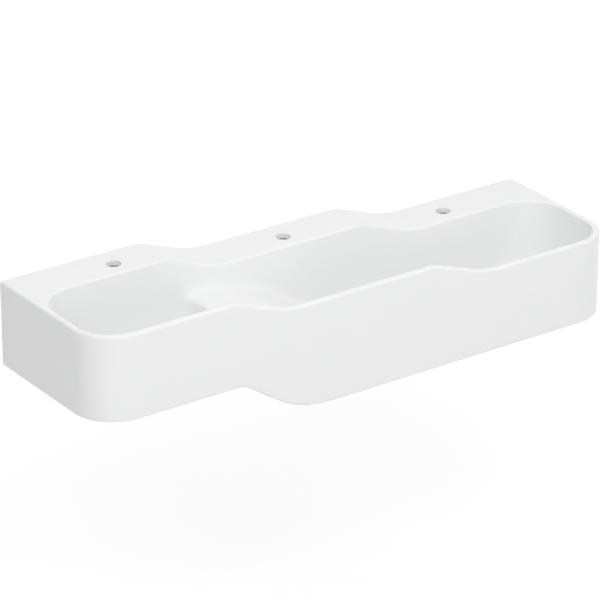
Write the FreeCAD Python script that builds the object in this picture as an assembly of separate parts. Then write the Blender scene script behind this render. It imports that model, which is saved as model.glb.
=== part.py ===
import FreeCAD, Part
import math
import os

# Wash trough on three levels, hung on a wall. Millimetres, +X along the wall, -Y into the room, +Z up.
# The origin is on the wall plane, at mid length, on the centre line of the wall fixings.

# Casting, outer form
LENGTH = 1400.0
DEPTH = 390.0
HIGH_END_HEIGHT = 200.0
FRONT_CORNER_RADIUS = 100.0
RIM_OUTER_RADIUS = 6.5
BASE_EDGE_RADIUS = 3.0

# Tap holes: one in from each end, one midway
TAP_FROM_END = 250.0
TAP_TO_BASIN = 48.0
TAP_HOLE_RADIUS = 17.5
TAP_EDGE_RADIUS = 0.5

# S-bends of deck and rim: each one lowers the deck to the right
DECK_STEP = 50.0
DECK_SLOPE_DEG = 20.0
DECK_CREST_RADIUS = 100.0
DECK_FOOT_RADIUS = 220.0
FIRST_BEND_FROM_TAP = 171.0
SECOND_BEND_FROM_TAP = 194.0

# S-bend of the lower edge
BASE_STEP = 100.0
BASE_SLOPE_DEG = 33.7
BASE_CREST_RADIUS = 50.0
BASE_FOOT_RADIUS = 250.0
BASE_BEND_FROM_TAP = 196.0

# Casting, walls and basins
WALL = 16.0
DECK_THICKNESS = 12.0
APRON_THICKNESS = 12.0
FLOOR_THICKNESS = 20.0
DECK_DEPTH = 110.0
RIM_INNER_RADIUS = 5.5
BASIN_BACK_CORNER_RADIUS = 90.0
BASIN_FILLET_RADIUS = 32.0
CORE_FILLET_RADIUS = 8.0

# Weir between the basins and the ramp behind it
WEIR_FROM_TAP = 163.0
WEIR_HEIGHT = 76.0
WEIR_CREST_RADIUS = 10.0
WEIR_CREST_FLAT = 2.0
WEIR_FOOT_RADIUS = 42.0
RAMP_SLOPE_DEG = 35.0
RAMP_CREST_RADIUS = 400.0
RAMP_FOOT_RADIUS = 200.0

# Wall brackets, bent from steel plate, open below
BRACKET_FROM_END = 100.0
BRACKET_WIDTH = 60.0
BRACKET_HEIGHT = 50.0
BRACKET_GAP = 5.0
BRACKET_PLATE = 4.0
BRACKET_BEND_RADIUS = 7.0
WALL_BOLT_HOLE_RADIUS = 6.5
PAD_THICKNESS = 3.0

# Bracket screws, washers and threaded inserts
SCREW_SPACING = 34.0
SCREW_RADIUS = 4.0
SCREW_HEAD_FLATS = 13.0
SCREW_HEAD_HEIGHT = 5.3
SCREW_TIP_GAP = 1.0
WASHER_RADIUS = 8.0
WASHER_THICKNESS = 1.6
INSERT_RADIUS = 6.0
INSERT_COVER = 5.0
HOLE_CLEARANCE = 0.5
THREAD_CLEARANCE = 0.1
GLUE_GAP = 0.1

# Wastes, alike in both basins
WASTE_HOLE_RADIUS = 23.0
DISH_RADIUS = 80.0
DISH_DEPTH = 3.0
FLANGE_RADIUS = 31.5
FLANGE_THICKNESS = 4.0
FLANGE_EDGE_RADIUS = 1.2
FLANGE_CLEARANCE = 0.6
FLANGE_SEAL_RADIUS = 29.5
FLANGE_SEAL_THICKNESS = 2.0
WASTE_THREAD_RADIUS = 20.95
WASTE_BORE_RADIUS = 18.0
TRAP_THREAD_LENGTH = 28.0
THREAD_LEAD = 1.0
RELIEF_WIDTH = 2.0
RELIEF_DEPTH = 1.2
UNDER_SEAL_RADIUS = 30.0
UNDER_SEAL_THICKNESS = 6.0
UNDER_SEAL_BEVEL = 2.5
SLIP_WASHER_RADIUS = 29.0
SLIP_WASHER_THICKNESS = 2.0
LOCK_NUT_FLATS = 52.0
LOCK_NUT_HEIGHT = 10.0
SPIDER_HEIGHT = 6.0
SPIDER_ARM_WIDTH = 4.0
SPIDER_ARM_COUNT = 3
BOSS_RADIUS = 7.0

# Push-open plug of the upper basin, drawn shut
UPPER_SPIDER_DEPTH = 44.0
PLUG_RADIUS = 25.0
PLUG_RIM_HEIGHT = 2.0
PLUG_CROWN_HEIGHT = 2.5
PLUG_SEAL_OUTER_RADIUS = 23.0
PLUG_SEAL_INNER_RADIUS = 18.5
PLUG_SEAL_THICKNESS = 2.0
PLUG_SEAT_GAP = 0.3
STEM_RADIUS = 3.0
STEM_CLEARANCE = 0.3
STEM_THREAD_DEPTH = 1.5
STEM_REACH = 17.0
CARTRIDGE_RADIUS = 8.5
CARTRIDGE_LENGTH = 24.0
CARTRIDGE_BASE = 4.0
CARTRIDGE_STUD_RADIUS = 4.0

# Fixed strainer of the lower basin
LOWER_SPIDER_DEPTH = 14.0
STRAINER_RADIUS = 24.0
STRAINER_THICKNESS = 2.5
STRAINER_CLEARANCE = 0.3
STRAINER_HOLE_RADIUS = 2.4
STRAINER_INNER_RING = 8.5
STRAINER_INNER_COUNT = 6
STRAINER_OUTER_RING = 14.5
STRAINER_OUTER_COUNT = 12
STRAINER_SCREW_RADIUS = 3.0
STRAINER_HEAD_RADIUS = 5.5
STRAINER_HEAD_HEIGHT = 2.2
STRAINER_SLOT_WIDTH = 1.2
STRAINER_SLOT_DEPTH = 1.0

# Reach of a cut past the faces that it goes through, and the size below which a length counts as none
CUT_OVER = 20.0
TINY = 1e-6

# Levels: one band behind all three decks holds the brackets. The apron hangs down to it, and in a low
# trough it is no higher than the deck is thick. The fixing line lies midway in the band.
FIXING_BAND = BRACKET_HEIGHT + 2 * BRACKET_GAP
APRON_HEIGHT = max(DECK_THICKNESS, HIGH_END_HEIGHT - 2 * DECK_STEP - FIXING_BAND)
DECK_LOW = FIXING_BAND / 2 + APRON_HEIGHT
DECK_MID = DECK_LOW + DECK_STEP
DECK_HIGH = DECK_MID + DECK_STEP
BASE_HIGH = DECK_HIGH - HIGH_END_HEIGHT
BASE_LOW = BASE_HIGH - BASE_STEP
UPPER_FLOOR = BASE_HIGH + FLOOR_THICKNESS
LOWER_FLOOR = BASE_LOW + FLOOR_THICKNESS
WEIR_CREST = UPPER_FLOOR + WEIR_HEIGHT
ABOVE = DECK_HIGH + CUT_OVER
BELOW = BASE_LOW - CUT_OVER

# Places along the wall
END_X = LENGTH / 2
INNER_END_X = END_X - WALL
LEFT_TAP_X = TAP_FROM_END - END_X
RIGHT_TAP_X = END_X - TAP_FROM_END
MIDDLE_TAP_X = (LEFT_TAP_X + RIGHT_TAP_X) / 2
FIRST_BEND_X = LEFT_TAP_X + FIRST_BEND_FROM_TAP
SECOND_BEND_X = RIGHT_TAP_X - SECOND_BEND_FROM_TAP
BASE_BEND_X = LEFT_TAP_X + BASE_BEND_FROM_TAP
WEIR_FACE_X = LEFT_TAP_X + WEIR_FROM_TAP
RAMP_START_X = WEIR_FACE_X + WEIR_CREST_RADIUS + WEIR_CREST_FLAT
BRACKET_XS = [BRACKET_FROM_END - END_X, (LEFT_TAP_X + MIDDLE_TAP_X) / 2,
              (MIDDLE_TAP_X + RIGHT_TAP_X) / 2, END_X - BRACKET_FROM_END]

# Places away from the wall
BASIN_FRONT_Y = WALL - DEPTH
BASIN_BACK_Y = -DECK_DEPTH
REAR_WALL_Y = WALL - DECK_DEPTH
WASTE_Y = (BASIN_FRONT_Y + BASIN_BACK_Y) / 2
TAP_Y = TAP_TO_BASIN - DECK_DEPTH
FLANGE_FRONT_Y = REAR_WALL_Y + PAD_THICKNESS
FLANGE_REAR_Y = FLANGE_FRONT_Y + BRACKET_PLATE
SCREW_SEAT_Y = FLANGE_REAR_Y + WASHER_THICKNESS
INSERT_END_Y = INSERT_COVER - DECK_DEPTH

# Bracket height above and below the fixing line
BRACKET_HALF_HEIGHT = BRACKET_HEIGHT / 2

ALONG_X = FreeCAD.Vector(1, 0, 0)
ALONG_Y = FreeCAD.Vector(0, 1, 0)
UP = FreeCAD.Vector(0, 0, 1)
CENTRE = FreeCAD.Vector(0, 0, 0)


# Drawing helpers

def in_plan(u, v):
    """Point of a drawing seen from above."""
    return FreeCAD.Vector(u, v, 0)


def in_elevation(u, v):
    """Point of a drawing seen from the front, on the wall plane."""
    return FreeCAD.Vector(u, 0, v)


def in_section(u, v):
    """Point of a drawing seen along the trough, at mid length."""
    return FreeCAD.Vector(0, u, v)


def rounded_face(corners, place):
    """Face inside straight runs whose corners (u, v, radius) are rounded by tangent arcs."""
    points = [place(u, v) for u, v, radius in corners]
    joints = []
    for i, (u, v, radius) in enumerate(corners):
        here = points[i]
        back = (points[i - 1] - here).normalize()
        ahead = (points[(i + 1) % len(points)] - here).normalize()
        half = back.getAngle(ahead) / 2
        reach = radius / math.tan(half)
        inward = (back + ahead).normalize() * (radius / math.sin(half) - radius)
        joints.append((here + back * reach, here + inward, here + ahead * reach))
    edges = []
    for i, (start, middle, end) in enumerate(joints):
        if start.distanceToPoint(end) > TINY:
            edges.append(Part.Arc(start, middle, end).toShape())
        following = joints[(i + 1) % len(joints)][0]
        if end.distanceToPoint(following) > TINY:
            edges.append(Part.LineSegment(end, following).toShape())
    return Part.Face(Part.Wire(edges))


def plan_solid(corners, low, high):
    """Upright prism over a plan drawing."""
    return rounded_face(corners, in_plan).extrude(UP * (high - low)).translated(UP * low)


def elevation_solid(corners, front, back):
    """Prism across the trough over a drawing seen from the front."""
    return rounded_face(corners, in_elevation).extrude(ALONG_Y * (back - front)).translated(ALONG_Y * front)


def rod(radius, low, high):
    """Upright cylinder on the Z axis."""
    return Part.makeCylinder(radius, high - low, UP * low, UP)


def ring(outer, inner, low, high):
    """Upright tube on the Z axis."""
    return rod(outer, low, high).cut(rod(inner, low, high))


def cross_rod(radius, x, z, front, back):
    """Cylinder along Y between two depths."""
    return Part.makeCylinder(radius, back - front, FreeCAD.Vector(x, front, z), ALONG_Y)


def edges_where(shape, wanted):
    """Edges of a shape whose middle point and bounding box pass a test."""
    found = []
    for edge in shape.Edges:
        middle = edge.valueAt((edge.FirstParameter + edge.LastParameter) / 2)
        if wanted(middle, edge.BoundBox):
            found.append(edge)
    return found


def level_edges(shape, height):
    """Edges that lie flat at one height."""
    return edges_where(shape, lambda middle, box: box.ZLength < TINY and abs(middle.z - height) < TINY)


def runs_along_y(box):
    """Whether an edge's box is a straight line across the trough."""
    return box.XLength < TINY and box.ZLength < TINY


def is_upright(box):
    """Whether an edge's box is a vertical line."""
    return box.XLength < TINY and box.YLength < TINY


def hexagon(flats, height):
    """Hexagonal prism on the XY plane with bevelled upper corners."""
    corner = flats / math.sqrt(3)
    bevel = (corner - flats / 2) / 2
    turns = [i * math.pi / 3 for i in range(6)]
    points = [in_plan(corner * math.cos(turn), corner * math.sin(turn)) for turn in turns]
    prism = Part.Face(Part.makePolygon(points + points[:1])).extrude(UP * height)
    blank = rod(corner, 0, height)
    return prism.common(blank.makeChamfer(bevel, level_edges(blank, height)))


# Trough body

def bend(middle_x, high, low, slope_deg, crest_radius, foot_radius):
    """Two rounded corners of an S-bend that falls to the right."""
    half_run = (high - low) / 2 / math.tan(math.radians(slope_deg))
    return [(middle_x - half_run, high, crest_radius), (middle_x + half_run, low, foot_radius)]


def deck_line(drop):
    """Corners of both S-bends of the deck from left to right, lowered by drop."""
    shape = (DECK_SLOPE_DEG, DECK_CREST_RADIUS, DECK_FOOT_RADIUS)
    first = bend(FIRST_BEND_X, DECK_HIGH - drop, DECK_MID - drop, *shape)
    second = bend(SECOND_BEND_X, DECK_MID - drop, DECK_LOW - drop, *shape)
    return first + second


def side_form():
    """Prism with the trough's outline as seen from the front."""
    base = bend(BASE_BEND_X, BASE_HIGH, BASE_LOW, BASE_SLOPE_DEG, BASE_CREST_RADIUS, BASE_FOOT_RADIUS)
    line = [(-END_X, DECK_HIGH, 0)] + deck_line(0) + [(END_X, DECK_LOW, 0)]
    line += [(END_X, BASE_LOW, 0)] + base[::-1] + [(-END_X, BASE_HIGH, 0)]
    return elevation_solid(line, -DEPTH - CUT_OVER, 0)


def outer_form():
    """Block with the trough's plan, rim line and lower edge, its outer edges rounded."""
    plan = plan_solid([(-END_X, 0, 0), (-END_X, -DEPTH, FRONT_CORNER_RADIUS),
                       (END_X, -DEPTH, FRONT_CORNER_RADIUS), (END_X, 0, 0)], BELOW, ABOVE)
    block = plan.common(side_form())
    block = block.makeFillet(RIM_OUTER_RADIUS, outer_edges(block, DECK_LOW, ABOVE))
    return block.makeFillet(BASE_EDGE_RADIUS, outer_edges(block, BELOW, BASE_HIGH))


def outer_edges(block, low, high):
    """Outer edges of the block in a band of heights, without those on the wall."""
    def wanted(middle, box):
        across = runs_along_y(box) and abs(middle.x) < END_X - TINY
        in_band = low - TINY < middle.z < high + TINY
        return in_band and middle.y < -TINY and not across and not is_upright(box)
    return edges_where(block, wanted)


def opening_form():
    """Upright prism with the plan of the opening over both basins."""
    front_corner = FRONT_CORNER_RADIUS - WALL
    return plan_solid([(-INNER_END_X, BASIN_BACK_Y, BASIN_BACK_CORNER_RADIUS),
                       (-INNER_END_X, BASIN_FRONT_Y, front_corner),
                       (INNER_END_X, BASIN_FRONT_Y, front_corner),
                       (INNER_END_X, BASIN_BACK_Y, BASIN_BACK_CORNER_RADIUS)], BELOW, ABOVE)


def ramp_corners(inset):
    """Upper and lower corner of the ramp's line, sunk into the casting by inset."""
    half = math.tan(math.radians(RAMP_SLOPE_DEG) / 2)
    upper_x = RAMP_START_X + (RAMP_CREST_RADIUS - inset) * half
    lower_x = upper_x + (WEIR_CREST - LOWER_FLOOR) / math.tan(math.radians(RAMP_SLOPE_DEG))
    return (upper_x, WEIR_CREST - inset), (lower_x, LOWER_FLOOR - inset)


def basin_space():
    """Space of both basins with its floors, weir and ramp, rounded along every wall."""
    upper, lower = ramp_corners(0)
    line = [(-END_X, ABOVE, 0), (-END_X, UPPER_FLOOR, 0),
            (WEIR_FACE_X, UPPER_FLOOR, WEIR_FOOT_RADIUS), (WEIR_FACE_X, WEIR_CREST, WEIR_CREST_RADIUS),
            upper + (RAMP_CREST_RADIUS,), lower + (RAMP_FOOT_RADIUS,),
            (END_X, LOWER_FLOOR, 0), (END_X, ABOVE, 0)]
    space = opening_form().common(elevation_solid(line, -DEPTH, 0))

    def on_floor_line(middle, box):
        across = runs_along_y(box) and abs(middle.x) < INNER_END_X - TINY
        wall_seam = is_upright(box) and abs(middle.x - WEIR_FACE_X) > TINY
        return middle.z < DECK_LOW and not across and not wall_seam
    return space.makeFillet(BASIN_FILLET_RADIUS, edges_where(space, on_floor_line))


def rim_edges(body):
    """Upper edges round the basins, where the walls of the opening meet the deck line."""
    outlines = (opening_form().Shells[0], side_form().Shells[0])

    def on_both(middle, box):
        return all(Part.Vertex(middle).distToShape(outline)[0] < TINY for outline in outlines)
    return edges_where(body, on_both)


def rear_line(drop):
    """Outline from the front of the space behind the basins, with its top below the deck by drop."""
    line = [(-INNER_END_X, DECK_HIGH - drop, 0)] + deck_line(drop) + [(INNER_END_X, DECK_LOW - drop, 0)]
    return line + [(INNER_END_X, BELOW, 0), (-INNER_END_X, BELOW, 0)]


def rear_space():
    """Space between basins and apron for brackets, taps and pipes, its inner edges rounded."""
    space = elevation_solid(rear_line(DECK_THICKNESS), REAR_WALL_Y, -APRON_THICKNESS)

    def inside_corner(middle, box):
        on_rear_wall = abs(middle.y - REAR_WALL_Y) < TINY
        under_deck = not is_upright(box) and not runs_along_y(box)
        return middle.z > BELOW + TINY and (on_rear_wall or under_deck)
    return space.makeFillet(CORE_FILLET_RADIUS, edges_where(space, inside_corner))


def rear_mouth():
    """Opening through the back, below the apron that hangs from the deck along the wall."""
    return elevation_solid(rear_line(APRON_HEIGHT), -APRON_THICKNESS, CUT_OVER)


def ramp_space():
    """Hollow under the weir and ramp that keeps the casting's walls even."""
    left = WEIR_FACE_X + WALL
    upper, lower = ramp_corners(FLOOR_THICKNESS)
    half = math.tan(math.radians(RAMP_SLOPE_DEG) / 2)
    crest_radius = (upper[0] - left - CORE_FILLET_RADIUS) / half
    foot_x = lower[0] + (lower[1] - BELOW) / math.tan(math.radians(RAMP_SLOPE_DEG))
    line = [(left, BELOW, 0), (left, upper[1], CORE_FILLET_RADIUS),
            upper + (crest_radius,), (foot_x, BELOW, 0)]
    return elevation_solid(line, BASIN_FRONT_Y, BASIN_BACK_Y)


def flange_top(floor):
    """Height of a waste flange's upper face, level with the bottom of its dish."""
    return floor - DISH_DEPTH


def flange_seat(floor):
    """Height of the face that carries a waste's flange seal."""
    return flange_top(floor) - FLANGE_THICKNESS - FLANGE_SEAL_THICKNESS


def waste_cut(floor):
    """Dish, flange seat and hole for a waste, on the Z axis."""
    seat_radius = FLANGE_RADIUS + FLANGE_CLEARANCE
    dish = Part.makeCone(seat_radius, DISH_RADIUS, DISH_DEPTH).translated(UP * flange_top(floor))
    seat = rod(seat_radius, flange_seat(floor), floor)
    hole = rod(WASTE_HOLE_RADIUS, floor - FLOOR_THICKNESS - CUT_OVER, floor)
    return [dish, seat, hole]


def at_waste(shape, x):
    """A shape drawn on the Z axis, moved to a waste."""
    return shape.translated(FreeCAD.Vector(x, WASTE_Y, 0))


def screw_xs():
    """Places of the bracket screws along the wall."""
    return [x + side * SCREW_SPACING / 2 for x in BRACKET_XS for side in (-1, 1)]


def tap_hole(x, deck):
    """Hole through the deck for one tap, with a rounded mouth."""
    mouth = TAP_HOLE_RADIUS + TAP_EDGE_RADIUS
    hole = rod(TAP_HOLE_RADIUS, deck - DECK_THICKNESS - CUT_OVER, deck)
    flare = rod(mouth, deck - TAP_EDGE_RADIUS, deck)
    lip = Part.makeTorus(mouth, TAP_EDGE_RADIUS, UP * (deck - TAP_EDGE_RADIUS), UP)
    return hole.fuse(flare.cut(lip)).translated(FreeCAD.Vector(x, TAP_Y, 0))


def trough_body():
    """The whole casting."""
    body = outer_form().cut(basin_space())
    body = body.makeFillet(RIM_INNER_RADIUS, rim_edges(body))
    cuts = [rear_space(), rear_mouth(), ramp_space()]
    cuts += [at_waste(cut, LEFT_TAP_X) for cut in waste_cut(UPPER_FLOOR)]
    cuts += [at_waste(cut, RIGHT_TAP_X) for cut in waste_cut(LOWER_FLOOR)]
    taps = ((LEFT_TAP_X, DECK_HIGH), (MIDDLE_TAP_X, DECK_MID), (RIGHT_TAP_X, DECK_LOW))
    cuts += [tap_hole(x, deck) for x, deck in taps]
    cuts += [cross_rod(INSERT_RADIUS, x, 0, INSERT_END_Y, 0) for x in screw_xs()]
    return body.cut(cuts)


# Wall brackets and their fasteners

def wall_bracket(x):
    """Plate bent to an upside-down U: one leg on the wall, one against the casting."""
    half = BRACKET_HALF_HEIGHT
    inner_bend = BRACKET_BEND_RADIUS - BRACKET_PLATE
    roof = half - BRACKET_PLATE
    line = [(0, -half, 0), (0, half, BRACKET_BEND_RADIUS), (FLANGE_FRONT_Y, half, BRACKET_BEND_RADIUS),
            (FLANGE_FRONT_Y, -half, 0), (FLANGE_REAR_Y, -half, 0), (FLANGE_REAR_Y, roof, inner_bend),
            (-BRACKET_PLATE, roof, inner_bend), (-BRACKET_PLATE, -half, 0)]
    plate = rounded_face(line, in_section).extrude(ALONG_X * BRACKET_WIDTH)
    plate.translate(ALONG_X * (x - BRACKET_WIDTH / 2))
    wall_hole = cross_rod(WALL_BOLT_HOLE_RADIUS, x, 0, -BRACKET_PLATE, 0)
    return plate.cut(screw_holes(x) + [wall_hole])


def screw_holes(x):
    """Clearance holes of one bracket's screws through its leg and pad."""
    radius = SCREW_RADIUS + HOLE_CLEARANCE
    places = (x - SCREW_SPACING / 2, x + SCREW_SPACING / 2)
    return [cross_rod(radius, place, 0, REAR_WALL_Y, FLANGE_REAR_Y) for place in places]


def bracket_pad(x):
    """Rubber pad between a bracket and the casting."""
    corner = FreeCAD.Vector(x - BRACKET_WIDTH / 2, REAR_WALL_Y, -BRACKET_HALF_HEIGHT)
    pad = Part.makeBox(BRACKET_WIDTH, PAD_THICKNESS, 2 * BRACKET_HALF_HEIGHT - BRACKET_BEND_RADIUS, corner)
    return pad.cut(screw_holes(x))


def thread_insert(x):
    """Threaded sleeve glued into the casting."""
    sleeve = cross_rod(INSERT_RADIUS - GLUE_GAP, x, 0, INSERT_END_Y, REAR_WALL_Y)
    return sleeve.cut(cross_rod(SCREW_RADIUS + THREAD_CLEARANCE, x, 0, INSERT_END_Y, REAR_WALL_Y))


def bracket_washer(x):
    """Washer between a screw head and the bracket."""
    disc = cross_rod(WASHER_RADIUS, x, 0, FLANGE_REAR_Y, SCREW_SEAT_Y)
    return disc.cut(cross_rod(SCREW_RADIUS + HOLE_CLEARANCE, x, 0, FLANGE_REAR_Y, SCREW_SEAT_Y))


def bracket_screw(x):
    """Hexagon-head screw through washer, bracket and pad into its insert."""
    head = hexagon(SCREW_HEAD_FLATS, SCREW_HEAD_HEIGHT)
    head.rotate(CENTRE, ALONG_X, -90)
    head.translate(FreeCAD.Vector(x, SCREW_SEAT_Y, 0))
    shank = cross_rod(SCREW_RADIUS, x, 0, INSERT_END_Y + SCREW_TIP_GAP, SCREW_SEAT_Y)
    return head.fuse(shank).removeSplitter()


# Wastes, drawn on the Z axis

def lock_nut_seat(base):
    """Height of the face that a lock nut bears on, below the casting's base."""
    return base - UNDER_SEAL_THICKNESS - SLIP_WASHER_THICKNESS


def relief_top(base):
    """Height where the lock nut's thread ends in a relief groove."""
    return lock_nut_seat(base) - LOCK_NUT_HEIGHT


def thread_end(base):
    """Height of a shank's lower end, past the thread that takes the trap and its bevelled lead."""
    return relief_top(base) - RELIEF_WIDTH - TRAP_THREAD_LENGTH - THREAD_LEAD


def waste_shank(base, high):
    """Threaded shank with a relief groove between its two stretches of thread."""
    end = thread_end(base)
    blank = rod(WASTE_THREAD_RADIUS, end, high)
    blank = blank.makeChamfer(THREAD_LEAD, level_edges(blank, end))
    groove_top = relief_top(base)
    groove_radii = (WASTE_THREAD_RADIUS + RELIEF_DEPTH, WASTE_THREAD_RADIUS - RELIEF_DEPTH)
    return blank.cut(ring(*groove_radii, groove_top - RELIEF_WIDTH, groove_top))


def waste_body(floor, spider_top, stud_radius):
    """Flange and threaded shank, with a three-armed spider across its bore."""
    top = flange_top(floor)
    base = floor - FLOOR_THICKNESS
    flange = rod(FLANGE_RADIUS, top - FLANGE_THICKNESS, top)
    flange = flange.makeFillet(FLANGE_EDGE_RADIUS, level_edges(flange, top))
    shank = waste_shank(base, top - FLANGE_THICKNESS)
    shell = flange.fuse(shank).cut(rod(WASTE_BORE_RADIUS, thread_end(base), top))
    low = spider_top - SPIDER_HEIGHT
    spider = rod(BOSS_RADIUS, low, spider_top)
    reach = (WASTE_BORE_RADIUS + WASTE_THREAD_RADIUS) / 2
    corner = FreeCAD.Vector(0, -SPIDER_ARM_WIDTH / 2, low)
    for i in range(SPIDER_ARM_COUNT):
        arm = Part.makeBox(reach, SPIDER_ARM_WIDTH, SPIDER_HEIGHT, corner)
        arm.rotate(CENTRE, UP, 360 / SPIDER_ARM_COUNT * i)
        spider = spider.fuse(arm)
    spider = spider.cut(rod(stud_radius + THREAD_CLEARANCE, low, spider_top))
    return shell.fuse(spider).removeSplitter()


def flange_seal(floor):
    """Flat seal between a flange and its seat."""
    seat = flange_seat(floor)
    return ring(FLANGE_SEAL_RADIUS, WASTE_THREAD_RADIUS + HOLE_CLEARANCE, seat, seat + FLANGE_SEAL_THICKNESS)


def under_seal(base):
    """Bevelled rubber seal under the floor."""
    low = base - UNDER_SEAL_THICKNESS
    blank = rod(UNDER_SEAL_RADIUS, low, base)
    blank = blank.makeChamfer(UNDER_SEAL_BEVEL, level_edges(blank, base))
    return blank.cut(rod(WASTE_THREAD_RADIUS + HOLE_CLEARANCE, low, base))


def slip_washer(base):
    """Washer that lets the lock nut turn on the seal."""
    seat = lock_nut_seat(base)
    return ring(SLIP_WASHER_RADIUS, WASTE_THREAD_RADIUS + HOLE_CLEARANCE, seat, seat + SLIP_WASHER_THICKNESS)


def lock_nut(base):
    """Hexagon nut on the shank."""
    bore = rod(WASTE_THREAD_RADIUS + THREAD_CLEARANCE, 0, LOCK_NUT_HEIGHT)
    nut = hexagon(LOCK_NUT_FLATS, LOCK_NUT_HEIGHT).cut(bore)
    nut.rotate(CENTRE, ALONG_X, 180)
    return nut.translated(UP * lock_nut_seat(base))


def cartridge_top(floor):
    """Height of the click cartridge's mouth."""
    return flange_top(floor) - UPPER_SPIDER_DEPTH + CARTRIDGE_LENGTH


def click_cartridge(floor):
    """Click mechanism that stands on the spider and guides the plug's stem."""
    top = cartridge_top(floor)
    foot = top - CARTRIDGE_LENGTH
    bore = rod(STEM_RADIUS + STEM_CLEARANCE, foot + CARTRIDGE_BASE, top)
    housing = rod(CARTRIDGE_RADIUS, foot, top).cut(bore)
    return housing.fuse(rod(CARTRIDGE_STUD_RADIUS, foot - SPIDER_HEIGHT, foot)).removeSplitter()


def plug_under(floor):
    """Height of the plug cap's lower face when it is shut."""
    return flange_top(floor) + PLUG_SEAT_GAP + PLUG_SEAL_THICKNESS


def plug_cap(floor):
    """Crowned cap with a blind hole for its stem."""
    low = plug_under(floor)
    high = low + PLUG_RIM_HEIGHT + PLUG_CROWN_HEIGHT
    crown_radius = (PLUG_RADIUS ** 2 + PLUG_CROWN_HEIGHT ** 2) / (2 * PLUG_CROWN_HEIGHT)
    cap = rod(PLUG_RADIUS, low, high).common(Part.makeSphere(crown_radius, UP * (high - crown_radius)))
    return cap.cut(rod(STEM_RADIUS + THREAD_CLEARANCE, low, low + STEM_THREAD_DEPTH))


def plug_seal(floor):
    """Rubber ring under the cap."""
    low = plug_under(floor)
    return ring(PLUG_SEAL_OUTER_RADIUS, PLUG_SEAL_INNER_RADIUS, low - PLUG_SEAL_THICKNESS, low)


def plug_stem(floor):
    """Rod from the cap down into the cartridge."""
    return rod(STEM_RADIUS, cartridge_top(floor) - STEM_REACH, plug_under(floor) + STEM_THREAD_DEPTH)


def strainer(floor):
    """Perforated disc that lies in the flange."""
    top = flange_top(floor)
    low = top - STRAINER_THICKNESS
    holes = [rod(STRAINER_SCREW_RADIUS + HOLE_CLEARANCE, low, top)]
    rings = ((STRAINER_INNER_RING, STRAINER_INNER_COUNT), (STRAINER_OUTER_RING, STRAINER_OUTER_COUNT))
    for radius, count in rings:
        for i in range(count):
            turn = 2 * math.pi * i / count
            place = in_plan(radius * math.cos(turn), radius * math.sin(turn))
            holes.append(rod(STRAINER_HOLE_RADIUS, low, top).translated(place))
    return rod(STRAINER_RADIUS, low, top).cut(holes)


def strainer_screw(floor):
    """Slotted screw that holds the strainer to the spider."""
    top = flange_top(floor)
    head_top = top + STRAINER_HEAD_HEIGHT
    foot = top - LOWER_SPIDER_DEPTH - SPIDER_HEIGHT
    screw = rod(STRAINER_HEAD_RADIUS, top, head_top).fuse(rod(STRAINER_SCREW_RADIUS, foot, top))
    corner = FreeCAD.Vector(-STRAINER_HEAD_RADIUS, -STRAINER_SLOT_WIDTH / 2, head_top - STRAINER_SLOT_DEPTH)
    slot = Part.makeBox(2 * STRAINER_HEAD_RADIUS, STRAINER_SLOT_WIDTH, STRAINER_SLOT_DEPTH, corner)
    return screw.cut(slot).removeSplitter()


def upper_waste():
    """Pieces of the upper basin's waste with its push-open plug."""
    base = UPPER_FLOOR - FLOOR_THICKNESS
    spider_top = flange_top(UPPER_FLOOR) - UPPER_SPIDER_DEPTH
    return {"upper_waste_body": waste_body(UPPER_FLOOR, spider_top, CARTRIDGE_STUD_RADIUS),
            "upper_flange_seal": flange_seal(UPPER_FLOOR),
            "upper_under_seal": under_seal(base),
            "upper_slip_washer": slip_washer(base),
            "upper_lock_nut": lock_nut(base),
            "click_cartridge": click_cartridge(UPPER_FLOOR),
            "plug_cap": plug_cap(UPPER_FLOOR),
            "plug_seal": plug_seal(UPPER_FLOOR),
            "plug_stem": plug_stem(UPPER_FLOOR)}


def lower_waste():
    """Pieces of the lower basin's free-flowing waste with its strainer."""
    base = LOWER_FLOOR - FLOOR_THICKNESS
    top = flange_top(LOWER_FLOOR)
    body = waste_body(LOWER_FLOOR, top - LOWER_SPIDER_DEPTH, STRAINER_SCREW_RADIUS)
    recess = rod(STRAINER_RADIUS + STRAINER_CLEARANCE, top - STRAINER_THICKNESS, top)
    return {"lower_waste_body": body.cut(recess),
            "lower_flange_seal": flange_seal(LOWER_FLOOR),
            "lower_under_seal": under_seal(base),
            "lower_slip_washer": slip_washer(base),
            "lower_lock_nut": lock_nut(base),
            "strainer": strainer(LOWER_FLOOR),
            "strainer_screw": strainer_screw(LOWER_FLOOR)}


# Assembly

def all_pieces():
    """Every sub-part by name, in its place."""
    pieces = {"trough_body": trough_body()}
    for i, x in enumerate(BRACKET_XS, start=1):
        pieces[f"wall_bracket_{i}"] = wall_bracket(x)
        pieces[f"bracket_pad_{i}"] = bracket_pad(x)
    pieces["thread_inserts"] = Part.makeCompound([thread_insert(x) for x in screw_xs()])
    pieces["bracket_washers"] = Part.makeCompound([bracket_washer(x) for x in screw_xs()])
    pieces["bracket_screws"] = Part.makeCompound([bracket_screw(x) for x in screw_xs()])
    pieces.update({name: at_waste(piece, LEFT_TAP_X) for name, piece in upper_waste().items()})
    pieces.update({name: at_waste(piece, RIGHT_TAP_X) for name, piece in lower_waste().items()})
    return pieces


def save(name, shape):
    """Check one sub-part and write it."""
    if not shape.isValid():
        raise ValueError(name + " is not a valid shape")
    shape.exportStep("parts/" + name + ".step")
    print(name, len(shape.Solids), "solids", round(shape.Volume / 1000, 2), "cm3")


os.makedirs("parts", exist_ok=True)
for piece_name, piece in all_pieces().items():
    save(piece_name, piece)
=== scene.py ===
import math

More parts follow.
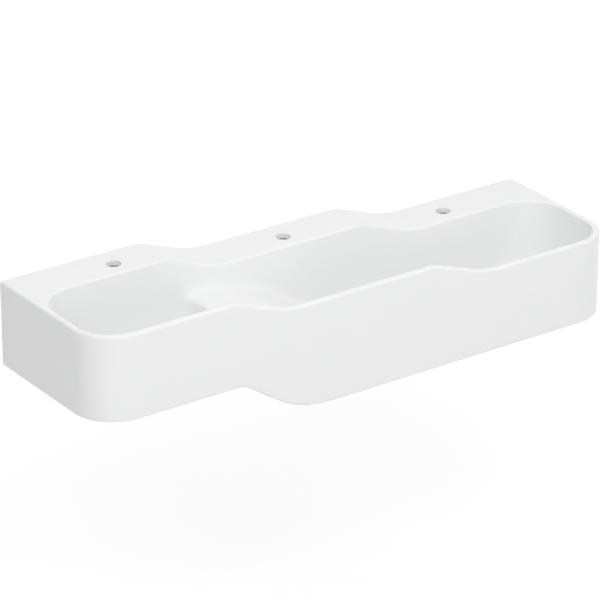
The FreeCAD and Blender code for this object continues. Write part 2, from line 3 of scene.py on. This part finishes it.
import bmesh
import bpy
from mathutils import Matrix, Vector


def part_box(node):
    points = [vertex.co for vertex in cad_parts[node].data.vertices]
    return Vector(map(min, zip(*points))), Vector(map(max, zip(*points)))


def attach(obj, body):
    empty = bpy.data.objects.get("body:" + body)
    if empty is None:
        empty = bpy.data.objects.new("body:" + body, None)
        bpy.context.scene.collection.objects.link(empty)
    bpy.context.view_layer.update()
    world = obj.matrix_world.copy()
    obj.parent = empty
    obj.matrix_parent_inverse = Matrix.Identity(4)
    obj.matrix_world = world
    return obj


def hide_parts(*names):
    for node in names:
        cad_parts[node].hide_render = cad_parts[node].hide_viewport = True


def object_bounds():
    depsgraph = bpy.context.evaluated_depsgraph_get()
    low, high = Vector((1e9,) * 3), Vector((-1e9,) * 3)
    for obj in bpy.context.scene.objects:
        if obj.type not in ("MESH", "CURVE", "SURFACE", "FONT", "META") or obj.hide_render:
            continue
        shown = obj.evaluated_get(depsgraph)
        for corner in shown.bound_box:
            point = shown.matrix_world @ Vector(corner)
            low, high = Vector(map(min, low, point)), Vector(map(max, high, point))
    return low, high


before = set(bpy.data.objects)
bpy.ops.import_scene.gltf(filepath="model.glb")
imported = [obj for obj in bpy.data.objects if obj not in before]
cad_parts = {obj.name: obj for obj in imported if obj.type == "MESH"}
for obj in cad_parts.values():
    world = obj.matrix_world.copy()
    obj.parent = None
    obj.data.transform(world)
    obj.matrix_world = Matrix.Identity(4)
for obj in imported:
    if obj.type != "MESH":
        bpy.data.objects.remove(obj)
cad_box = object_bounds()

# Camera, in metres and degrees in the part's frame
CAMERA_PLACE = (-4.50001, -6.54633, 3.62304)
CAMERA_PITCH_DEG = 65.12062
CAMERA_YAW_DEG = -35.03419
CAMERA_SENSOR_MM = 36.0
CAMERA_LENS_MM = 230.90088

# Floor under the hung trough: what lights the object, and what the camera sees. The seen floor
# glows more with each metre from the middle, up to a limit, so that it is one even white.
RIM_ABOVE_FLOOR = 0.85
FLOOR_SIZE = 40.0
FLOOR_COLOUR = (0.80, 0.80, 0.80, 1.0)
SEEN_FLOOR_COLOUR = (0.40, 0.40, 0.40, 1.0)
SEEN_FLOOR_GLOW = 0.68
SEEN_FLOOR_GLOW_RISE = 0.045
SEEN_FLOOR_GLOW_LIMIT = 1.0

# Soft studio light: an even sky and a ring of large soft boxes, each with its place, side and
# watts. Shiny surfaces mirror the white studio in place of the boxes.
WHITE = (1.0, 1.0, 1.0, 1.0)
SKY_COLOUR = (0.975, 1.0, 0.99, 1.0)
SKY_STRENGTH = 0.136
SOFT_BOXES = {
    "front": ((0.0, -4.5, 1.5), 2.5, 9.0),
    "front_low": ((0.5, -4.5, 0.2), 2.5, 27.0),
    "front_high": ((0.0, -3.5, 3.5), 2.5, 58.0),
    "front_left": ((-3.0, -4.0, 2.0), 2.5, 25.0),
    "left_low": ((-4.5, -0.8, 0.8), 2.5, 21.5),
    "left_high": ((-3.0, -1.5, 3.5), 3.0, 42.0),
    "right": ((4.5, -1.0, 1.2), 5.0, 63.0),
    "back": ((0.0, 3.0, 3.5), 5.0, 55.0),
    "back_high": ((0.0, 1.5, 4.4), 4.5, 39.0),
    "over_right": ((0.8, -0.6, 1.9), 1.2, 4.1),
}

# Colours of the finishes, as linear red, green and blue
CASTING_COLOURS = ((0.945, 0.9485, 0.947), (0.950, 0.9525, 0.952))
CASTING_FLECK = (0.88, 0.885, 0.88)
RAW_COLOURS = ((0.70, 0.70, 0.68), (0.86, 0.86, 0.845))
SPANGLE_COLOURS = ((0.50, 0.515, 0.53), (0.68, 0.69, 0.70))
SPANGLE_BLOOM = (0.60, 0.61, 0.61)
ZINC_PLATE_COLOURS = ((0.60, 0.625, 0.66), (0.74, 0.745, 0.74))
BRASS_COLOURS = ((0.82, 0.64, 0.32), (0.60, 0.43, 0.19))
CHROME_COLOURS = ((0.60, 0.607, 0.615), (0.54, 0.547, 0.556))
STAINLESS_COLOURS = ((0.57, 0.565, 0.55), (0.70, 0.70, 0.69))
RUBBER_COLOURS = ((0.028, 0.028, 0.030), (0.068, 0.068, 0.070))
WHITE_PLASTIC_COLOURS = ((0.76, 0.76, 0.73), (0.83, 0.83, 0.81))
GREY_PLASTIC_COLOURS = ((0.40, 0.41, 0.42), (0.48, 0.49, 0.50))

# Raw sides of the casting: faces that lean down by more than this share, and what lies behind
# this plane and between the ends, except on top and in the tap holes
RAW_LEAN = 0.4
REAR_WALL_Y = -0.0945
INNER_END_X = 0.6845
TAP_SPACING = 0.45
TAP_Y = -0.062
TAP_BORE_REACH = 0.0185

# Wastes, as in the solids, with the G 1 1/4 thread that those show as a plain cylinder
FLANGE_RADIUS = 0.0315
FLANGE_THICKNESS = 0.004
FLANGE_EDGE_RADIUS = 0.0012
FLANGE_EDGE_STEPS = 5
WASTE_BORE_RADIUS = 0.018
BORE_BEVEL = 0.0004
THREAD_RADIUS = 0.02095
THREAD_PITCH = 0.002309
THREAD_DEPTH = 0.00148
THREAD_LEAD = 0.001
THREAD_ROWS_PER_TURN = 10
TRAP_THREAD_LENGTH = 0.028
RELIEF_WIDTH = 0.002
RELIEF_DEPTH = 0.0012
TURN_STEPS = 96
SPIDER_HEIGHT = 0.006
SPIDER_ARM_WIDTH = 0.004
SPIDER_ARM_COUNT = 3
SPIDER_BEVEL = 0.0006
BOSS_RADIUS = 0.007
UPPER_SPIDER_DEPTH = 0.044
UPPER_STUD_RADIUS = 0.0041
LOWER_SPIDER_DEPTH = 0.014
LOWER_STUD_RADIUS = 0.0031
STRAINER_RECESS_RADIUS = 0.0243
STRAINER_RECESS_DEPTH = 0.0025

# Brackets, and the broken edges of the metal pieces
BRACKET_COUNT = 4
EDGE_BREAK = 0.0004
EDGE_BREAK_SEGMENTS = 2
EDGE_BREAK_ANGLE_DEG = 30.0
FLAT_ANGLE_DEG = 0.5
WELD_DISTANCE = 0.000005

# Sockets of a Mix node that hold its two colours and their mix
MIX_COLOUR_INPUTS = (6, 7)
MIX_COLOUR_OUTPUT = 2


# Shader building

def new_material(name, metallic=0.0):
    """Empty node material: itself, its shader and its node tree."""
    material = bpy.data.materials.new(name)
    material.use_nodes = True
    shader = material.node_tree.nodes["Principled BSDF"]
    shader.inputs["Metallic"].default_value = metallic
    return material, shader, material.node_tree


def math_node(tree, operation, first, second=0.0):
    """Output of a Math node on sockets or plain numbers."""
    node = tree.nodes.new("ShaderNodeMath")
    node.operation = operation
    for socket, value in zip(node.inputs, (first, second)):
        if isinstance(value, (int, float)):
            socket.default_value = value
        else:
            tree.links.new(value, socket)
    return node.outputs[0]


def added(tree, first, second):
    """Sum of two sockets or numbers."""
    return math_node(tree, "ADD", first, second)


def scaled(tree, value, by):
    """A value times a number or another value."""
    return math_node(tree, "MULTIPLY", value, by)


def place_socket(tree, centre=(0.0, 0.0, 0.0), stretch=(1.0, 1.0, 1.0)):
    """Object coordinates in metres, measured from a centre."""
    source = tree.nodes.new("ShaderNodeTexCoord")
    shift = tree.nodes.new("ShaderNodeMapping")
    shift.vector_type = "TEXTURE"
    shift.inputs["Location"].default_value = centre
    shift.inputs["Scale"].default_value = stretch
    tree.links.new(source.outputs["Object"], shift.inputs["Vector"])
    return shift.outputs["Vector"]


def noise(tree, place, size, detail=2.0):
    """Cloudy noise whose blotches are about size metres across."""
    node = tree.nodes.new("ShaderNodeTexNoise")
    node.inputs["Scale"].default_value = 1.0 / size
    node.inputs["Detail"].default_value = detail
    tree.links.new(place, node.inputs["Vector"])
    return node.outputs["Fac"]


def crystals(tree, place, size):
    """Three numbers that differ from one crystal cell, about size metres across, to the next."""
    node = tree.nodes.new("ShaderNodeTexVoronoi")
    node.inputs["Scale"].default_value = 1.0 / size
    tree.links.new(place, node.inputs["Vector"])
    parts = tree.nodes.new("ShaderNodeSeparateColor")
    tree.links.new(node.outputs["Color"], parts.inputs["Color"])
    return parts.outputs["Red"], parts.outputs["Green"], parts.outputs["Blue"]


def turning(tree, place, pitch):
    """Fine rings round the Z axis, as a lathe or a brush leaves them."""
    node = tree.nodes.new("ShaderNodeTexWave")
    node.wave_type = "RINGS"
    node.rings_direction = "Z"
    waves_per_unit = 10 / math.pi
    node.inputs["Scale"].default_value = 1.0 / (pitch * waves_per_unit)
    node.inputs["Distortion"].default_value = 1.5
    node.inputs["Detail"].default_value = 3.0
    tree.links.new(place, node.inputs["Vector"])
    return node.outputs["Fac"]


def spread(tree, value, low=0.0, high=1.0, start=0.3, end=0.7):
    """A value's span from start to end mapped to low to high."""
    node = tree.nodes.new("ShaderNodeMapRange")
    for name, number in (("From Min", start), ("From Max", end), ("To Min", low), ("To Max", high)):
        node.inputs[name].default_value = number
    tree.links.new(value, node.inputs["Value"])
    return node.outputs["Result"]


def two_colours(tree, factor, first, second):
    """Mix of two colours, each a tuple or a socket."""
    node = tree.nodes.new("ShaderNodeMix")
    node.data_type = "RGBA"
    tree.links.new(factor, node.inputs["Factor"])
    for index, colour in zip(MIX_COLOUR_INPUTS, (first, second)):
        if isinstance(colour, tuple):
            node.inputs[index].default_value = colour + (1.0,)
        else:
            tree.links.new(colour, node.inputs[index])
    return node.outputs[MIX_COLOUR_OUTPUT]


def finish(tree, shader, colour, roughness, height, distance):
    """Colour, roughness and bump of a shader, with a height of 1 for distance in metres."""
    tree.links.new(colour, shader.inputs["Base Color"])
    tree.links.new(roughness, shader.inputs["Roughness"])
    bump = tree.nodes.new("ShaderNodeBump")
    bump.inputs["Distance"].default_value = distance
    tree.links.new(height, bump.inputs["Height"])
    tree.links.new(bump.outputs["Normal"], shader.inputs["Normal"])


# Materials

def raw_side(tree):
    """1 on the casting's unpolished faces: undersides, and the space behind the basins."""
    geometry = tree.nodes.new("ShaderNodeNewGeometry")
    normal = tree.nodes.new("ShaderNodeSeparateXYZ")
    tree.links.new(geometry.outputs["True Normal"], normal.inputs["Vector"])
    point = tree.nodes.new("ShaderNodeSeparateXYZ")
    tree.links.new(place_socket(tree), point.inputs["Vector"])
    under = math_node(tree, "LESS_THAN", normal.outputs["Z"], -RAW_LEAN)
    not_on_top = math_node(tree, "LESS_THAN", normal.outputs["Z"], RAW_LEAN)
    behind = math_node(tree, "GREATER_THAN", point.outputs["Y"], REAR_WALL_Y)
    off_middle = math_node(tree, "ABSOLUTE", point.outputs["X"])
    between = math_node(tree, "LESS_THAN", off_middle, INNER_END_X)
    rear = scaled(tree, scaled(tree, behind, by=between), by=not_on_top)
    rear = scaled(tree, rear, by=outside_taps(tree, point))
    return math_node(tree, "MAXIMUM", under, rear)


def outside_taps(tree, point):
    """1 away from the tap holes, which stand in a row at even spacing."""
    tap = math_node(tree, "ROUND", math_node(tree, "DIVIDE", point.outputs["X"], TAP_SPACING))
    along = math_node(tree, "SUBTRACT", point.outputs["X"], scaled(tree, tap, by=TAP_SPACING))
    across = math_node(tree, "SUBTRACT", point.outputs["Y"], TAP_Y)
    squares = [scaled(tree, side, by=side) for side in (along, across)]
    return math_node(tree, "GREATER_THAN", added(tree, *squares), TAP_BORE_REACH ** 2)


def casting_material():
    """White mineral casting: quartz fleck under a satin gel coat, raw and matt out of sight."""
    material, shader, tree = new_material("mineral_casting")
    place = place_socket(tree)
    raw = raw_side(tree)
    cloud = spread(tree, noise(tree, place, size=0.004, detail=3.0))
    fleck = spread(tree, noise(tree, place, size=0.0014), start=0.62, end=0.72)
    grit = spread(tree, noise(tree, place, size=0.0035, detail=5.0))
    satin = two_colours(tree, cloud, *CASTING_COLOURS)
    satin = two_colours(tree, scaled(tree, fleck, by=0.35), satin, CASTING_FLECK)
    matt = two_colours(tree, grit, *RAW_COLOURS)
    colour = two_colours(tree, raw, satin, matt)
    polish = spread(tree, noise(tree, place, size=0.003), low=0.28, high=0.31)
    roughness = added(tree, polish, scaled(tree, raw, by=0.4))
    ripple = scaled(tree, noise(tree, place, size=0.006), by=0.015)
    relief = scaled(tree, scaled(tree, grit, by=raw), by=0.9)
    finish(tree, shader, colour, roughness, added(tree, ripple, relief), distance=0.0002)
    return material


def galvanised_material():
    """Hot-dip zinc on steel plate: a spangle of crystal cells under a light bloom."""
    material, shader, tree = new_material("zinc_steel", metallic=1.0)
    place = place_socket(tree)
    tone, gloss, step = crystals(tree, place, size=0.006)
    bloom = spread(tree, noise(tree, place, size=0.018, detail=4.0))
    facet = two_colours(tree, tone, *SPANGLE_COLOURS)
    colour = two_colours(tree, scaled(tree, bloom, by=0.45), facet, SPANGLE_BLOOM)
    roughness = spread(tree, gloss, low=0.30, high=0.46, start=0.0, end=1.0)
    roughness = added(tree, roughness, scaled(tree, bloom, by=0.12))
    finish(tree, shader, colour, roughness, step, distance=0.00003)
    return material


def plated_material():
    """Bright zinc plate on screws and washers, with a bluish cast and handling marks."""
    material, shader, tree = new_material("zinc_plate", metallic=1.0)
    cast = spread(tree, noise(tree, place_socket(tree), size=0.008, detail=3.0))
    marks = noise(tree, place_socket(tree, stretch=(1.0, 1.0, 0.08)), size=0.004, detail=4.0)
    colour = two_colours(tree, cast, *ZINC_PLATE_COLOURS)
    finish(tree, shader, colour, spread(tree, marks, low=0.22, high=0.42), marks, distance=0.00002)
    return material


def brass_material():
    """Machined brass with a patchy tarnish."""
    material, shader, tree = new_material("brass", metallic=1.0)
    tarnish = spread(tree, noise(tree, place_socket(tree), size=0.014, detail=5.0))
    tool = noise(tree, place_socket(tree, stretch=(1.0, 1.0, 0.06)), size=0.004, detail=3.0)
    colour = two_colours(tree, tarnish, *BRASS_COLOURS)
    roughness = added(tree, spread(tree, tool, low=0.18, high=0.30), scaled(tree, tarnish, by=0.14))
    finish(tree, shader, colour, roughness, tool, distance=0.00002)
    return material


def chrome_material():
    """Polished chrome with faint wiping marks."""
    material, shader, tree = new_material("chrome", metallic=1.0)
    smear = spread(tree, noise(tree, place_socket(tree), size=0.012, detail=5.0))
    wiped = noise(tree, place_socket(tree, stretch=(0.15, 1.0, 1.0)), size=0.003, detail=3.0)
    colour = two_colours(tree, smear, *CHROME_COLOURS)
    roughness = added(tree, spread(tree, wiped, low=0.04, high=0.09), scaled(tree, smear, by=0.06))
    finish(tree, shader, colour, roughness, wiped, distance=0.000002)
    return material


def stainless_material(name, centre):
    """Stainless steel turned round an upright axis."""
    material, shader, tree = new_material(name, metallic=1.0)
    place = place_socket(tree, centre)
    rings = turning(tree, place, pitch=0.00035)
    patch = spread(tree, noise(tree, place, size=0.01, detail=4.0))
    tone = added(tree, scaled(tree, rings, by=0.6), scaled(tree, patch, by=0.4))
    colour = two_colours(tree, tone, *STAINLESS_COLOURS)
    roughness = spread(tree, tone, low=0.20, high=0.36, start=0.0, end=1.0)
    finish(tree, shader, colour, roughness, rings, distance=0.00001)
    return material


def rubber_material():
    """Black rubber with a moulded grain and a grey bloom."""
    material, shader, tree = new_material("rubber")
    place = place_socket(tree)
    bloom = spread(tree, noise(tree, place, size=0.009, detail=5.0))
    grain = noise(tree, place, size=0.0006)
    colour = two_colours(tree, bloom, *RUBBER_COLOURS)
    finish(tree, shader, colour, spread(tree, grain, low=0.62, high=0.84), grain, distance=0.00006)
    return material


def plastic_material(name, colours):
    """Moulded plastic with flow marks and a fine texture."""
    material, shader, tree = new_material(name)
    drawn = place_socket(tree, stretch=(1.0, 1.0, 0.3))
    flow = spread(tree, noise(tree, drawn, size=0.012, detail=4.0))
    grain = noise(tree, place_socket(tree), size=0.0008)
    colour = two_colours(tree, flow, *colours)
    finish(tree, shader, colour, spread(tree, grain, low=0.36, high=0.52), grain, distance=0.00003)
    return material


def give(material, *names):
    """Put one material on carried-over nodes."""
    for name in names:
        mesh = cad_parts[name].data
        mesh.materials.clear()
        mesh.materials.append(material)


# Metal pieces

def break_edges(*names):
    """Round off the sharp edges of carried-over nodes, so that they catch the light."""
    for name in names:
        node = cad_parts[name]
        weld = node.modifiers.new("weld", "WELD")
        weld.merge_threshold = WELD_DISTANCE
        flat = node.modifiers.new("flat", "DECIMATE")
        flat.decimate_type = "DISSOLVE"
        flat.angle_limit = math.radians(FLAT_ANGLE_DEG)
        bevel = node.modifiers.new("edges", "BEVEL")
        bevel.width = EDGE_BREAK
        bevel.segments = EDGE_BREAK_SEGMENTS
        bevel.limit_method = "ANGLE"
        bevel.angle_limit = math.radians(EDGE_BREAK_ANGLE_DEG)
        bevel.harden_normals = True


def thread_fall(turns):
    """How deep a rounded thread lies below its crest, 0 to 1, at a count of turns."""
    return 0.5 - 0.5 * math.cos(2 * math.pi * turns)


def waste_rows(top, end, recess_radius, recess_depth):
    """Closed outline of a waste body as rows of radius, height and share of thread depth."""
    seat = top - FLANGE_THICKNESS
    relief = end + THREAD_LEAD + TRAP_THREAD_LENGTH
    rows = [(WASTE_BORE_RADIUS, top - recess_depth - BORE_BEVEL, 0.0),
            (WASTE_BORE_RADIUS + BORE_BEVEL, top - recess_depth, 0.0)]
    if recess_depth:
        rows += [(recess_radius, top - recess_depth, 0.0), (recess_radius, top, 0.0)]
    for step in range(FLANGE_EDGE_STEPS + 1):
        turn = math.pi / 2 * step / FLANGE_EDGE_STEPS
        rows.append((FLANGE_RADIUS - FLANGE_EDGE_RADIUS * (1 - math.sin(turn)),
                     top - FLANGE_EDGE_RADIUS * (1 - math.cos(turn)), 0.0))
    rows += [(FLANGE_RADIUS, seat, 0.0), (THREAD_RADIUS, seat, 0.0)]
    rows += thread_rows(seat, relief + RELIEF_WIDTH)
    groove = THREAD_RADIUS - RELIEF_DEPTH
    rows += [(groove, relief + RELIEF_WIDTH, 0.0), (groove, relief, 0.0)]
    rows += thread_rows(relief, end + THREAD_LEAD)
    rows += [(THREAD_RADIUS - THREAD_LEAD, end, 0.0), (WASTE_BORE_RADIUS, end, 0.0)]
    return rows


def thread_rows(high, low):
    """Rows down one stretch of thread, which runs out at both ends."""
    count = round((high - low) / THREAD_PITCH * THREAD_ROWS_PER_TURN)
    rows = []
    for step in range(count + 1):
        down = (high - low) * step / count
        share = min(1.0, down / THREAD_PITCH, (high - low - down) / THREAD_PITCH)
        rows.append((THREAD_RADIUS, high - down, share))
    return rows


def add_turned(mesh, rows, centre):
    """Turn a closed outline round an upright axis, its threaded rows cut by a helix."""
    rings = []
    for radius, height, share in rows:
        ring = []
        for step in range(TURN_STEPS):
            turn = step / TURN_STEPS
            depth = THREAD_DEPTH * share * thread_fall(height / THREAD_PITCH - turn)
            reach = radius - depth
            angle = 2 * math.pi * turn
            ring.append(mesh.verts.new((centre.x + reach * math.cos(angle),
                                        centre.y + reach * math.sin(angle), height)))
        rings.append(ring)
    for i, ring in enumerate(rings):
        below = rings[(i + 1) % len(rings)]
        for step in range(TURN_STEPS):
            following = (step + 1) % TURN_STEPS
            mesh.faces.new((ring[step], below[step], below[following], ring[following]))


def add_spider(mesh, centre, top, stud_radius):
    """Three arms across the bore and the boss they carry, with broken edges."""
    low = top - SPIDER_HEIGHT
    outline = [(stud_radius, top - SPIDER_BEVEL, 0.0), (stud_radius + SPIDER_BEVEL, top, 0.0),
               (BOSS_RADIUS - SPIDER_BEVEL, top, 0.0), (BOSS_RADIUS, top - SPIDER_BEVEL, 0.0),
               (BOSS_RADIUS, low + SPIDER_BEVEL, 0.0), (BOSS_RADIUS - SPIDER_BEVEL, low, 0.0),
               (stud_radius, low, 0.0)]
    add_turned(mesh, outline, centre)
    half = SPIDER_ARM_WIDTH / 2
    section = [(-half, low), (half, low), (half, top - SPIDER_BEVEL), (half - SPIDER_BEVEL, top),
               (SPIDER_BEVEL - half, top), (-half, top - SPIDER_BEVEL)]
    inner = (stud_radius + BOSS_RADIUS) / 2
    outer = (WASTE_BORE_RADIUS + THREAD_RADIUS - THREAD_DEPTH) / 2
    for arm in range(SPIDER_ARM_COUNT):
        angle = 2 * math.pi * arm / SPIDER_ARM_COUNT
        along = Vector((math.cos(angle), math.sin(angle), 0))
        across = Vector((-math.sin(angle), math.cos(angle), 0))
        ends = []
        for reach in (inner, outer):
            middle = centre + along * reach
            ends.append([mesh.verts.new(middle + across * side + Vector((0, 0, height)))
                         for side, height in section])
        mesh.faces.new(ends[0][::-1])
        mesh.faces.new(ends[1])
        for i in range(len(section)):
            j = (i + 1) % len(section)
            mesh.faces.new((ends[0][i], ends[0][j], ends[1][j], ends[1][i]))


def threaded_waste(name, node, material, spider_depth, stud_radius,
                   recess_radius=0.0, recess_depth=0.0):
    """Waste body with its real thread, in the place of the plain one."""
    low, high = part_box(node)
    centre = Vector(((low.x + high.x) / 2, (low.y + high.y) / 2, 0))
    mesh = bmesh.new()
    add_turned(mesh, waste_rows(high.z, low.z, recess_radius, recess_depth), centre)
    add_spider(mesh, centre, high.z - spider_depth, stud_radius)
    bmesh.ops.recalc_face_normals(mesh, faces=mesh.faces)
    data = bpy.data.meshes.new(name)
    mesh.to_mesh(data)
    mesh.free()
    data.shade_smooth()
    data.set_sharp_from_angle(angle=math.radians(EDGE_BREAK_ANGLE_DEG))
    data.materials.append(material)
    piece = bpy.data.objects.new(name, data)
    bpy.context.scene.collection.objects.link(piece)
    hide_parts(node)
    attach(piece, "trough")


# Dressing

def numbered(name):
    """Names of the pieces that each bracket has one of."""
    return [f"{name}_{i}" for i in range(1, BRACKET_COUNT + 1)]


def node_centre(name):
    """Middle of a node's box."""
    low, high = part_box(name)
    return (low + high) / 2


def dress_wastes():
    """Threads and materials of both wastes' metal pieces."""
    chrome = chrome_material()
    threaded_waste("upper_waste", "upper_waste_body", chrome, UPPER_SPIDER_DEPTH, UPPER_STUD_RADIUS)
    threaded_waste("lower_waste", "lower_waste_body", chrome, LOWER_SPIDER_DEPTH, LOWER_STUD_RADIUS,
                   STRAINER_RECESS_RADIUS, STRAINER_RECESS_DEPTH)
    give(chrome, "plug_cap")
    give(stainless_material("stainless_stem", node_centre("plug_stem")), "plug_stem")
    strainer_steel = stainless_material("stainless_strainer", node_centre("strainer"))
    give(strainer_steel, "strainer", "strainer_screw")
    give(brass_material(), "thread_inserts", "upper_lock_nut", "lower_lock_nut")
    break_edges("upper_lock_nut", "lower_lock_nut", "strainer")


def dress_brackets():
    """Materials and broken edges of the brackets and their fasteners."""
    brackets = numbered("wall_bracket")
    give(galvanised_material(), *brackets)
    give(plated_material(), "bracket_screws", "bracket_washers")
    break_edges(*brackets, "bracket_screws", "bracket_washers")


def dress_soft():
    """Materials of rubber and plastic."""
    give(rubber_material(), "upper_flange_seal", "lower_flange_seal", "upper_under_seal",
         "lower_under_seal", "plug_seal", *numbered("bracket_pad"))
    give(plastic_material("white_plastic", WHITE_PLASTIC_COLOURS),
         "upper_slip_washer", "lower_slip_washer")
    give(plastic_material("grey_plastic", GREY_PLASTIC_COLOURS), "click_cartridge")


# Studio

def build_camera():
    """Camera at the trough's front left, looking down on it."""
    data = bpy.data.cameras.new("camera")
    data.sensor_width = CAMERA_SENSOR_MM
    data.lens = CAMERA_LENS_MM
    camera = bpy.data.objects.new("camera", data)
    camera.location = CAMERA_PLACE
    camera.rotation_euler = (math.radians(CAMERA_PITCH_DEG), 0, math.radians(CAMERA_YAW_DEG))
    bpy.context.scene.collection.objects.link(camera)
    bpy.context.scene.camera = camera


def seen_or_lit(tree, lit, seen):
    """One shader for the light on things, one for what the camera and shiny surfaces see."""
    path = tree.nodes.new("ShaderNodeLightPath")
    shiny = math_node(tree, "MAXIMUM", path.outputs["Is Camera Ray"], path.outputs["Is Glossy Ray"])
    direct = math_node(tree, "MAXIMUM", shiny, path.outputs["Is Transmission Ray"])
    mix = tree.nodes.new("ShaderNodeMixShader")
    tree.links.new(direct, mix.inputs["Fac"])
    tree.links.new(lit.outputs[0], mix.inputs[1])
    tree.links.new(seen.outputs[0], mix.inputs[2])
    return mix.outputs[0]


def build_world():
    """Even sky that lights the object, seen as plain white."""
    world = bpy.data.worlds.new("studio")
    world.use_nodes = True
    bpy.context.scene.world = world
    tree = world.node_tree
    sky = tree.nodes["Background"]
    sky.inputs["Color"].default_value = SKY_COLOUR
    sky.inputs["Strength"].default_value = SKY_STRENGTH
    white = tree.nodes.new("ShaderNodeBackground")
    white.inputs["Color"].default_value = WHITE
    white.inputs["Strength"].default_value = 1.0
    tree.links.new(seen_or_lit(tree, sky, white), tree.nodes["World Output"].inputs["Surface"])


def build_floor():
    """Pale floor that keeps the object's shadow."""
    height = cad_box[1].z - RIM_ABOVE_FLOOR
    bpy.ops.mesh.primitive_plane_add(size=FLOOR_SIZE, location=(0, 0, height))
    floor = bpy.context.object
    floor.name = "floor"
    material, seen, tree = new_material("floor")
    seen.inputs["Base Color"].default_value = SEEN_FLOOR_COLOUR
    seen.inputs["Roughness"].default_value = 1.0
    seen.inputs["Specular IOR Level"].default_value = 0.0
    seen.inputs["Emission Color"].default_value = WHITE
    away = tree.nodes.new("ShaderNodeVectorMath")
    away.operation = "LENGTH"
    tree.links.new(place_socket(tree), away.inputs[0])
    rise = scaled(tree, away.outputs["Value"], by=SEEN_FLOOR_GLOW_RISE)
    glow = math_node(tree, "MINIMUM", added(tree, rise, SEEN_FLOOR_GLOW), SEEN_FLOOR_GLOW_LIMIT)
    tree.links.new(glow, seen.inputs["Emission Strength"])
    lit = tree.nodes.new("ShaderNodeBsdfDiffuse")
    lit.inputs["Color"].default_value = FLOOR_COLOUR
    tree.links.new(seen_or_lit(tree, lit, seen), tree.nodes["Material Output"].inputs["Surface"])
    floor.data.materials.append(material)


def build_soft_box(name, place, side, watts):
    """Square soft box that faces the trough."""
    data = bpy.data.lights.new(name, "AREA")
    data.shape = "SQUARE"
    data.size = side
    data.energy = watts
    box = bpy.data.objects.new(name, data)
    box.location = place
    box.rotation_euler = (-Vector(place)).to_track_quat("-Z", "Y").to_euler()
    box.visible_glossy = False
    bpy.context.scene.collection.objects.link(box)


bpy.context.scene.view_settings.view_transform = "Standard"
build_camera()
build_world()
build_floor()
for box_name, (box_place, box_side, box_watts) in SOFT_BOXES.items():
    build_soft_box(box_name, box_place, box_side, box_watts)
give(casting_material(), "trough_body")
dress_wastes()
dress_brackets()
dress_soft()
